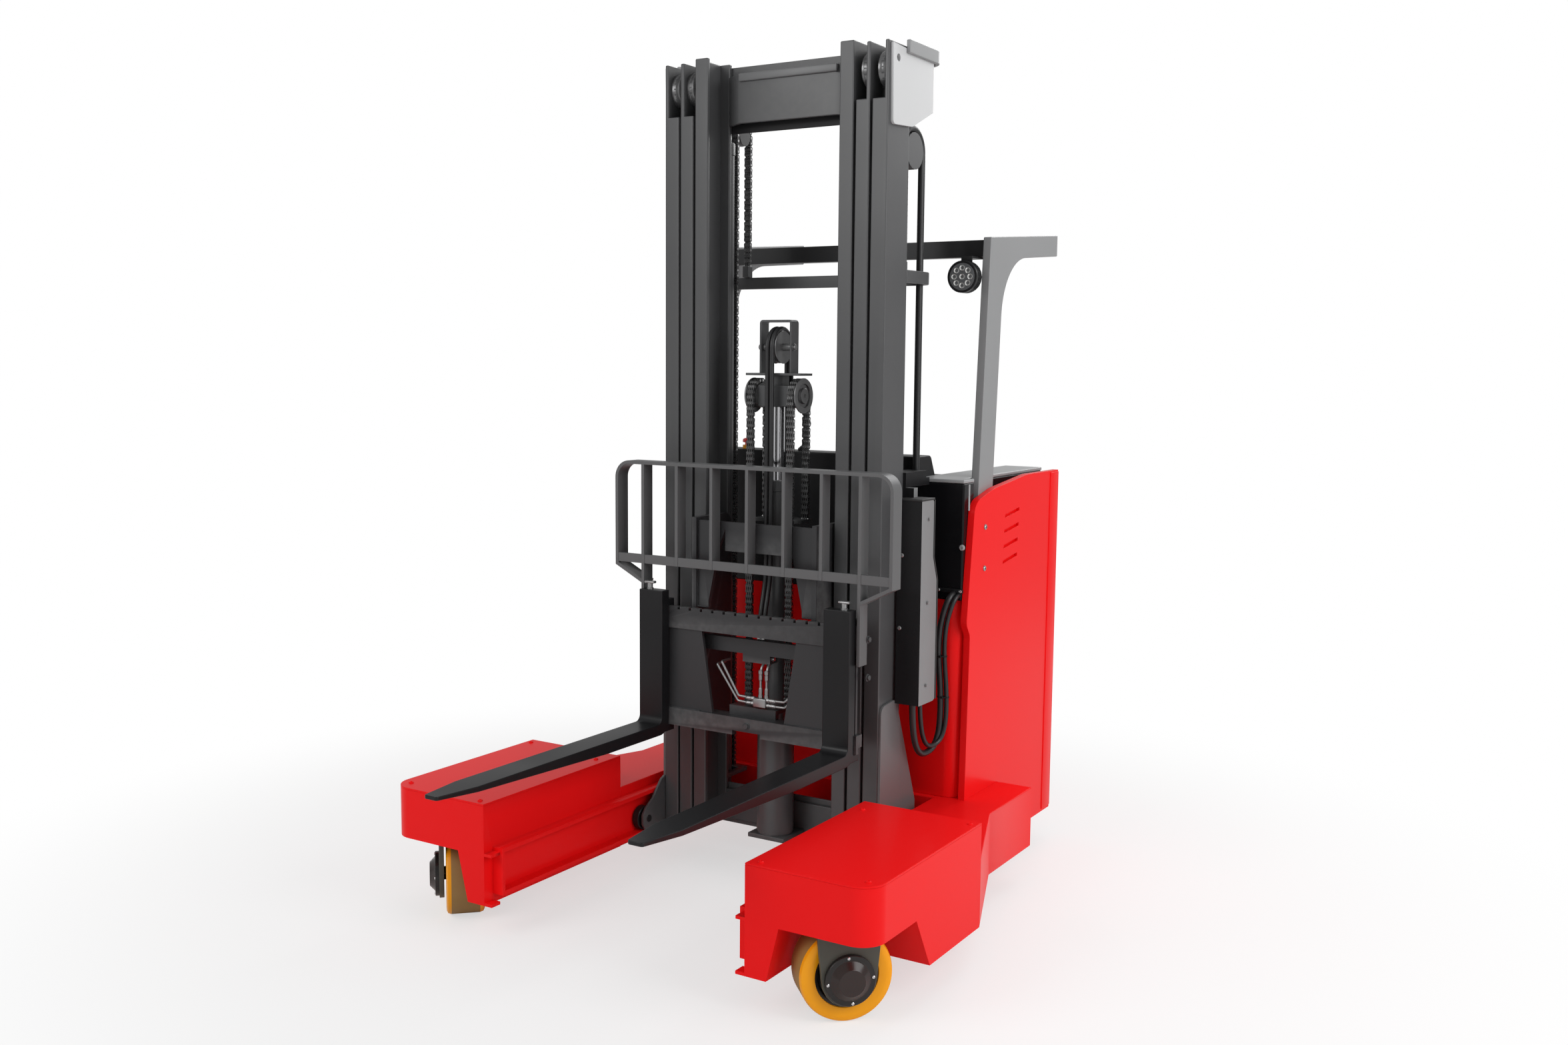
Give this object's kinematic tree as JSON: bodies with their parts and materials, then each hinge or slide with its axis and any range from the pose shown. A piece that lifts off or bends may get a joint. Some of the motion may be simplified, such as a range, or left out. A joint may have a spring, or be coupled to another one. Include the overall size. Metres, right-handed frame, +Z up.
{
  "type": "multidirectional reach forklift",
  "caption": "Stand-on reach truck with straddle legs, steered load wheels, a lifting mast that slides forward, forks on a hook-on carriage and an overhead guard.",
  "frame": {"origin": "on the floor, below the middle of the whole truck's length and width", "axes": "+Z up; +X towards the closed side of the body, across the truck; -Y the way the forks point"},
  "size_m": [1.8, 2.37, 2.865],
  "materials": {
    "black_plastic": "grained black plastic",
    "black_steel": "satin black paint",
    "bracket_green": "satin gray-green paint",
    "cell": "dark case",
    "chain_steel": "oiled dark chain",
    "guard_gray": "satin mid gray paint",
    "hose_rubber": "black rubber hose",
    "lamp": "black cast housing",
    "mast_gray": "satin dark gray paint",
    "pad": "grained black vinyl",
    "polyurethane": "cast yellow-orange polyurethane",
    "red": "glossy red paint",
    "tyre_black": "black rubber"
  },
  "bodies": {
    "chassis": {"chassis_frame": "red", "leg_left": "red", "leg_right": "red", "leg_cover_left": "red", "leg_cover_right": "red", "side_panel_left": "red", "side_panel_right": "red", "guard_side_left": "guard_gray", "guard_side_right": "guard_gray", "battery_housing": "red", "battery": "cell", "hood": "black_plastic", "hood_lid": "guard_gray", "console": "black_plastic", "controls": "black_plastic", "rear_cabinet": "red", "operator_floor": "black_steel", "lean_pad": "pad", "guard_bars": "guard_gray", "work_lamp": "lamp", "loop_hoses": "hose_rubber"},
    "mast_outer": {"outer_rail_left": "mast_gray", "outer_rail_right": "mast_gray", "top_bracket_left": "guard_gray", "top_bracket_right": "guard_gray", "foot_frame_left": "guard_gray", "foot_frame_right": "guard_gray", "outer_cross": "mast_gray", "upper_tie": "mast_gray", "hose_cover": "mast_gray", "lift_barrels": "mast_gray"},
    "mast_mid": {"mid_rail_left": "mast_gray", "mid_rail_right": "mast_gray", "mid_cross": "mast_gray", "lift_chains": "chain_steel", "mast_hose": "hose_rubber"},
    "mast_inner": {"inner_rail_left": "mast_gray", "inner_rail_right": "mast_gray", "inner_cross": "mast_gray", "free_barrel": "mast_gray"},
    "free_rod": {"rod_head": "mast_gray", "chain_sheaves": "mast_gray", "free_chains": "chain_steel", "pulley_hoses": "hose_rubber"},
    "fork_carriage": {"carriage": "mast_gray", "backrest": "mast_gray"},
    "fork_left": {"fork_left": "black_steel"},
    "fork_right": {"fork_right": "black_steel"},
    "steer_left": {"wheel_bracket_left": "bracket_green"},
    "steer_right": {"wheel_bracket_right": "bracket_green"},
    "load_wheel_left": {"load_wheel_left": "polyurethane"},
    "load_wheel_right": {"load_wheel_right": "polyurethane"},
    "drive_unit": {"drive_unit": "black_steel"},
    "drive_wheel": {"drive_wheel": "tyre_black"},
    "castor_fork": {"castor_fork": "black_steel"},
    "castor_wheel": {"castor_wheel": "tyre_black"}
  },
  "joints": [
    {"name": "mast_reach", "type": "slide", "parent": "chassis", "child": "mast_outer", "axis": [0, -1, 0], "range_m": [0, 0.56], "deforming": ["loop_hoses"]},
    {"name": "mid_lift", "type": "slide", "parent": "mast_outer", "child": "mast_mid", "axis": [0, 0, 1], "range_m": [0, 2.1], "deforming": ["lift_chains", "mast_hose"]},
    {"name": "inner_lift", "type": "slide", "parent": "mast_mid", "child": "mast_inner", "axis": [0, 0, 1], "range_m": [0, 2.1], "deforming": ["lift_chains"]},
    {"name": "carriage_lift", "type": "slide", "parent": "mast_inner", "child": "fork_carriage", "axis": [0, 0, 1], "range_m": [-0.5, 1.2], "deforming": ["free_chains", "pulley_hoses"]},
    {"name": "free_rod_lift", "type": "slide", "parent": "mast_inner", "child": "free_rod", "axis": [0, 0, 1], "range_m": [-0.25, 0.6], "deforming": ["free_chains", "pulley_hoses"]},
    {"name": "fork_left_shift", "type": "slide", "parent": "fork_carriage", "child": "fork_left", "axis": [1, 0, 0], "range_m": [0, 0.2]},
    {"name": "fork_right_shift", "type": "slide", "parent": "fork_carriage", "child": "fork_right", "axis": [-1, 0, 0], "range_m": [0, 0.2]},
    {"name": "steer_left_turn", "type": "hinge", "parent": "chassis", "child": "steer_left", "pos_m": [-0.721, -0.687, 0.3], "axis": [0, 0, 1], "range_deg": [-45, 45]},
    {"name": "steer_right_turn", "type": "hinge", "parent": "chassis", "child": "steer_right", "pos_m": [0.721, -0.687, 0.3], "axis": [0, 0, 1], "range_deg": [-45, 45]},
    {"name": "load_wheel_left_spin", "type": "hinge", "parent": "steer_left", "child": "load_wheel_left", "pos_m": [-0.721, -0.687, 0.135], "axis": [0.7071, 0.7071, 0], "continuous": true},
    {"name": "load_wheel_right_spin", "type": "hinge", "parent": "steer_right", "child": "load_wheel_right", "pos_m": [0.721, -0.687, 0.135], "axis": [0.7071, -0.7071, 0], "continuous": true},
    {"name": "drive_steer", "type": "hinge", "parent": "chassis", "child": "drive_unit", "pos_m": [0.32, 0.951, 0.43], "axis": [0, 0, 1], "range_deg": [-90, 90]},
    {"name": "drive_wheel_spin", "type": "hinge", "parent": "drive_unit", "child": "drive_wheel", "pos_m": [0.32, 0.951, 0.172], "axis": [1, 0, 0], "continuous": true},
    {"name": "castor_swivel", "type": "hinge", "parent": "chassis", "child": "castor_fork", "pos_m": [-0.33, 0.961, 0.2], "axis": [0, 0, 1], "continuous": true},
    {"name": "castor_spin", "type": "hinge", "parent": "castor_fork", "child": "castor_wheel", "pos_m": [-0.33, 0.996, 0.075], "axis": [1, 0, 0], "continuous": true}
  ],
  "couplings": [
    {"joint": "inner_lift", "follows": "mid_lift", "ratio": 1},
    {"joint": "free_rod_lift", "follows": "carriage_lift", "ratio": 0.5}
  ]
}
